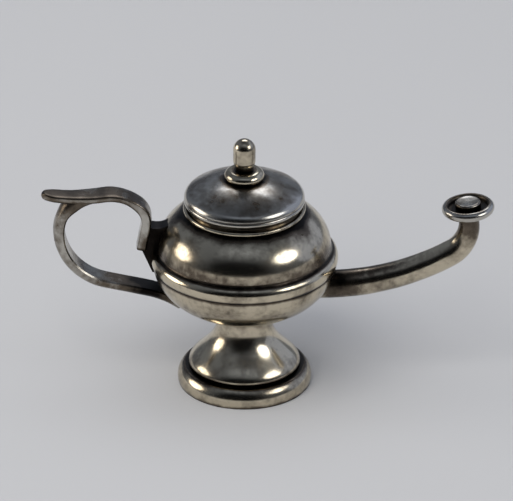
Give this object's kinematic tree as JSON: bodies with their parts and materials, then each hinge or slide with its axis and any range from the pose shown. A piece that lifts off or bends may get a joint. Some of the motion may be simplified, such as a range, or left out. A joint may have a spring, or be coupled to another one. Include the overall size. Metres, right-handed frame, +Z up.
{
  "type": "genie oil lamp",
  "caption": "Miniature genie oil lamp in oxidised silver: footed bowl with a lift-off domed lid, bent spout with a wick dish, and a strap handle with a thumb leaf.",
  "frame": {"origin": "centre of the flat sole of the base", "axes": "+Z up through the finial, +X along the spout, the handle towards -X"},
  "size_m": [0.0393, 0.0164, 0.0235],
  "materials": {
    "silver": "polished silver, oxidised dark in the hollows",
    "dark_silver": "blackened silver, dull"
  },
  "bodies": {
    "lamp": {"base_plate": "silver", "foot_bell": "silver", "tie_pin": "dark_silver", "pin_washer": "dark_silver", "bowl_lower": "silver", "bowl_upper": "silver", "waist_bead": "silver", "neck_ring": "silver", "spout_tube": "silver", "spout_cup": "silver", "wick_plug": "dark_silver", "handle_loop": "silver", "thumb_leaf": "silver", "handle_lug": "dark_silver"},
    "lid": {"lid_dome": "silver", "lid_bezel": "silver", "finial_collar": "silver", "finial_knob": "silver", "finial_washer": "dark_silver"}
  },
  "joints": [
    {"name": "lid_lift", "type": "slide", "parent": "lamp", "child": "lid", "axis": [0, 0, 1], "range_m": [0, 0.012]}
  ]
}
